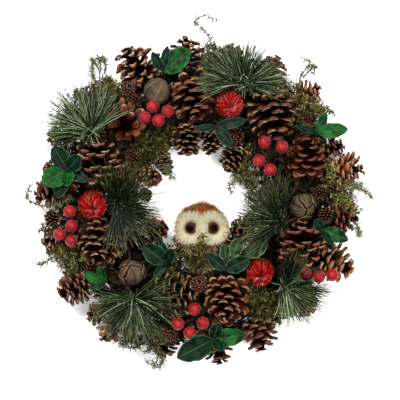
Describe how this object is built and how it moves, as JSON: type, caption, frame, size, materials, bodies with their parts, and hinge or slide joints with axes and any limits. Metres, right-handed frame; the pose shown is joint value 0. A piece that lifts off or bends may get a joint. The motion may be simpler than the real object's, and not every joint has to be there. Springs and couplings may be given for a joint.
{
  "type": "pinecone wreath",
  "caption": "Round wreath of open pine cones on a flat ring, dressed with pine needles, green leaves, frosted berries, red bristly balls, seed pods, moss and a small owl, with an open middle.",
  "frame": {"origin": "centre of the bounding box in plan, at the flat back of the ring", "axes": "+Z out of the wreath's front, +Y towards its top as it would hang, +X to the viewer's right"},
  "size_m": [0.3744, 0.3882, 0.0918],
  "materials": {
    "ring": "rough twig and straw",
    "cone_dark": "dry, with tan scale ends",
    "cone_brown": "dry, with tan scale ends",
    "cone_red": "dry, smooth red-brown scales",
    "cone_orange": "dry, fresh orange-brown scales",
    "berry": "frosted",
    "bristle_red": "glossy strands",
    "pod": "dry husk",
    "leaf": "satin leaf with pale veins",
    "needle": "satin needles",
    "moss": "dry moss",
    "owl": "plant fibre"
  },
  "bodies": {
    "root": {"base_ring": "ring", "cone_top_left": "cone_brown", "cone_top": "cone_brown", "cones_top_inner": "cone_dark", "cones_inner_upper_right": "cone_dark", "cone_upper_right": "cone_dark", "cone_top_behind_needles": "cone_brown", "cone_outer_top_right": "cone_brown", "cone_small_orange": "cone_orange", "cones_right": "cone_red", "cones_outer_right": "cone_red", "cone_lower_right": "cone_red", "cone_outer_lower_right": "cone_orange", "cone_inner_right": "cone_dark", "cone_under_needles": "cone_brown", "cone_bottom_right": "cone_brown", "cone_bottom_big": "cone_red", "cones_bottom": "cone_brown", "cones_bottom_inner": "cone_dark", "cones_bottom_left": "cone_dark", "cones_outer_lower_left": "cone_orange", "cone_left_end": "cone_brown", "cone_left_big": "cone_dark", "cones_outer_left": "cone_brown", "cones_left_flower": "cone_red", "cones_upper_left": "cone_dark", "cone_outer_left_needles": "cone_brown", "cone_outer_upper_left": "cone_red", "cones_flower": "cone_red", "cones_inner_left": "cone_dark", "cone_inner_lower_left": "cone_red", "berries_upper_left": "berry", "berries_upper_right": "berry", "berries_left": "berry", "berries_bottom": "berry", "berries_right": "berry", "red_ball_top": "bristle_red", "red_ball_left": "bristle_red", "red_ball_right": "bristle_red", "pod_top": "pod", "pod_lower_left": "pod", "pod_right": "pod", "owl": "owl", "leaves_top": "leaf", "leaves_left": "leaf", "leaves_lower_left": "leaf", "leaves_inner_left": "leaf", "leaves_under_top_ball": "leaf", "leaves_outer_right": "leaf", "leaves_right": "leaf", "leaves_lower_right": "leaf", "leaves_bottom": "leaf", "needles_upper_left": "needle", "needles_top": "needle", "needles_left": "needle", "needles_right": "needle", "needles_lower_left": "needle", "needles_lower_right": "needle", "moss_sprig_top": "moss", "moss_sprig_left": "moss"}
  },
  "joints": []
}
